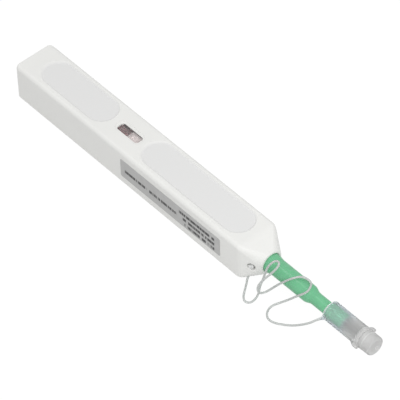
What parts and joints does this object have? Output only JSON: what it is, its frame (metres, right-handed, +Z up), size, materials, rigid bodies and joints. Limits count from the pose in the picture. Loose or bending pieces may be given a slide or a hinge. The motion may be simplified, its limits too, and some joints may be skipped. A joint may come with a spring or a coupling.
{
  "type": "fibre optic cleaning pen",
  "caption": "Push-to-click cleaner for fibre connectors: white box-section case, green sliding nozzle, clear tethered guide cap with a flip lid, and a thread drive inside.",
  "frame": {"origin": "middle of the pen's length and width, on the surface it lies on", "axes": "+X along the pen towards its cap, +Z up through the face with the window, -Y through the side with the label"},
  "size_m": [0.2, 0.0261, 0.0178],
  "materials": {
    "case_white": "satin moulded",
    "inner_white": "moulded",
    "lens_clear": "polished clear",
    "label_grey": "printed film",
    "nozzle_green": "satin moulded",
    "cap_clear": "frosted clear",
    "tether_clear": "clear cord",
    "reel_brown": "moulded",
    "gear_cream": "moulded",
    "steel": "bright",
    "thread_white": "fine thread",
    "tip_dark": "moulded"
  },
  "bodies": {
    "case": {"case_shell": "case_white", "base_cover": "case_white", "window_lens": "lens_clear", "side_label": "label_grey", "cam_pin": "steel", "return_spring": "steel", "tether_near": "tether_clear", "tether_far": "tether_clear", "tether_knot": "tether_clear"},
    "carriage": {"carriage_frame": "inner_white", "nozzle": "nozzle_green", "reel_axles": "steel", "thread_roller": "steel", "feed_thread": "thread_white", "return_thread": "thread_white", "ratchet_pawl": "gear_cream", "brake_spring": "steel"},
    "take_up": {"take_up_reel": "reel_brown", "take_up_thread": "thread_white", "drive_gear": "gear_cream", "ratchet_wheel": "gear_cream"},
    "supply": {"supply_reel": "reel_brown", "supply_thread": "thread_white"},
    "rotor": {"spindle": "inner_white", "cleaning_tip": "tip_dark"},
    "cap": {"guide_cap": "cap_clear"},
    "lid": {"flip_lid": "cap_clear"}
  },
  "joints": [
    {"name": "press", "type": "slide", "parent": "case", "child": "carriage", "axis": [-1, 0, 0], "range_m": [0, 0.008], "stiffness_N_per_m": 500, "springref_m": -0.006, "deforming": ["return_spring"]},
    {"name": "take_up_turn", "type": "hinge", "parent": "carriage", "child": "take_up", "pos_m": [-0.005, 0, 0.0089], "axis": [0, -1, 0], "range_deg": [0, 114.6]},
    {"name": "supply_turn", "type": "hinge", "parent": "carriage", "child": "supply", "pos_m": [-0.038, 0, 0.0089], "axis": [0, 1, 0], "range_deg": [0, 72.5]},
    {"name": "tip_turn", "type": "hinge", "parent": "carriage", "child": "rotor", "pos_m": [0.05, 0, 0.0089], "axis": [1, 0, 0], "range_deg": [0, 180.1]},
    {"name": "cap_pull", "type": "slide", "parent": "carriage", "child": "cap", "axis": [1, 0, 0], "range_m": [0, 0.02]},
    {"name": "lid_flip", "type": "hinge", "parent": "cap", "child": "lid", "pos_m": [0.09425, 0.00493, 0.0107], "axis": [0, -0.342, 0.9397], "range_deg": [0, 150]}
  ],
  "couplings": [
    {"joint": "take_up_turn", "follows": "press", "rad_per_m": 250},
    {"joint": "supply_turn", "follows": "press", "rad_per_m": 158},
    {"joint": "tip_turn", "follows": "press", "rad_per_m": 392.7}
  ]
}
